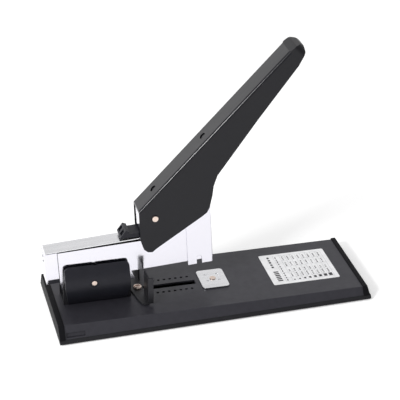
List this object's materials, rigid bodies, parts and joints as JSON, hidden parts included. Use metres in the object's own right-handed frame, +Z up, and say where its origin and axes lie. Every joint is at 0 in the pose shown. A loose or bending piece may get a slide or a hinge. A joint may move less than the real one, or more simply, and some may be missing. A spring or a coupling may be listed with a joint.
{
  "type": "long reach stapler",
  "caption": "Heavy-duty desk stapler: long flat wedge base, chrome hinged arm with sliding staple magazine, sliding depth guide, turning anvil and a tall black lever handle",
  "frame": {"origin": "on the floor, at the middle of the footprint", "axes": "+X to the front where paper goes in, +Y to the far side (left seen from the rear), +Z up"},
  "size_m": [0.2761, 0.1012, 0.2281],
  "materials": {
    "base_paint": "fine textured dark grey powder coat",
    "cap_plastic": "satin moulded black plastic",
    "tray_plastic": "matte moulded black plastic",
    "foot_rubber": "matte rubber",
    "chrome_plate": "bright chrome plate",
    "cover_plastic": "satin moulded black plastic",
    "zinc_steel": "zinc plated steel",
    "spring_steel": "oiled spring steel wire",
    "satin_steel": "satin pressed steel",
    "label_paper": "coated white label",
    "guide_paint": "satin black paint",
    "brass_screw": "brass plated",
    "handle_paint": "satin black powder coat",
    "black_steel": "black oxide steel",
    "cast_block": "blackened casting"
  },
  "bodies": {
    "base": {"base_plate": "base_paint", "rear_end_cap": "cap_plastic", "front_end_cap": "cap_plastic", "bottom_tray": "tray_plastic", "rubber_feet": "foot_rubber", "base_posts": "zinc_steel", "tray_screws": "zinc_steel", "hinge_bracket": "guide_paint", "bracket_rivets": "zinc_steel", "hinge_cover_near": "cover_plastic", "hinge_cover_far": "cover_plastic", "hinge_pins": "brass_screw", "hinge_spring_far": "spring_steel", "hinge_spring_near": "spring_steel", "anvil_rivet": "brass_screw", "anvil_washer": "zinc_steel", "anvil_support": "cast_block", "size_label": "label_paper"},
    "anvil": {"anvil_plate": "satin_steel"},
    "guide": {"depth_guide": "guide_paint", "guide_nut_plate": "zinc_steel"},
    "lock_screw": {"guide_lock_screw": "brass_screw"},
    "arm": {"arm_frame": "chrome_plate", "column_cover": "chrome_plate", "staple_strip": "zinc_steel", "handle_pin": "brass_screw", "latch_pin": "zinc_steel", "handle_spring": "spring_steel"},
    "magazine_rail": {"magazine_cover": "satin_steel", "tail_cap": "chrome_plate", "tail_block": "cover_plastic", "tail_screws": "zinc_steel", "pusher_rod": "zinc_steel", "rod_clip": "spring_steel", "pusher_spring": "spring_steel"},
    "staple_pusher": {"pusher": "satin_steel"},
    "latch": {"latch_lever": "cover_plastic"},
    "handle": {"handle_shell": "handle_paint", "handle_liner": "zinc_steel", "handle_cam": "cast_block", "handle_screws": "black_steel"},
    "ram": {"ram_block": "cast_block", "driver_blade": "satin_steel", "blade_screws": "zinc_steel", "roller_pin": "zinc_steel"},
    "roller": {"ram_roller": "satin_steel"}
  },
  "joints": [
    {"name": "arm_hinge", "type": "hinge", "parent": "base", "child": "arm", "pos_m": [-0.09851, 0, 0.03503], "axis": [0, 1, 0], "range_deg": [0, 12], "stiffness_Nm_per_rad": 2, "springref_deg": -34.38},
    {"name": "handle_pivot", "type": "hinge", "parent": "arm", "child": "handle", "pos_m": [-0.04443, 0, 0.08644], "axis": [0, 1, 0], "range_deg": [0, 38], "stiffness_Nm_per_rad": 1, "springref_deg": -34.38},
    {"name": "ram_slide", "type": "slide", "parent": "arm", "child": "ram", "axis": [0.0401, 0, -0.9992], "range_m": [0, 0.027]},
    {"name": "roller_spin", "type": "hinge", "parent": "ram", "child": "roller", "pos_m": [-0.00613, 0, 0.10199], "axis": [0, 1, 0], "continuous": true},
    {"name": "magazine_slide", "type": "slide", "parent": "arm", "child": "magazine_rail", "axis": [-0.9992, 0, -0.0401], "range_m": [0, 0.095]},
    {"name": "pusher_slide", "type": "slide", "parent": "magazine_rail", "child": "staple_pusher", "axis": [-0.9992, 0, -0.0401], "range_m": [0, 0.045], "stiffness_N_per_m": 60, "springref_m": -0.03, "deforming": ["pusher_spring"]},
    {"name": "latch_pivot", "type": "hinge", "parent": "arm", "child": "latch", "pos_m": [-0.04792, 0, 0.07109], "axis": [0, 1, 0], "range_deg": [0, 5], "stiffness_Nm_per_rad": 0.03, "springref_deg": -22.92},
    {"name": "depth_guide_slide", "type": "slide", "parent": "base", "child": "guide", "axis": [0.9999, 0, -0.013], "range_m": [0, 0.036]},
    {"name": "lock_screw_turn", "type": "hinge", "parent": "guide", "child": "lock_screw", "pos_m": [-0.0586, 0, 0.01301], "axis": [0.013, 0, 0.9999], "continuous": true},
    {"name": "anvil_turn", "type": "hinge", "parent": "base", "child": "anvil", "pos_m": [0.0081, 0, 0.01214], "axis": [0.013, 0, 0.9999], "continuous": true}
  ],
  "couplings": [
    {"joint": "ram_slide", "follows": "handle_pivot", "m_per_rad": 0.04041}
  ]
}
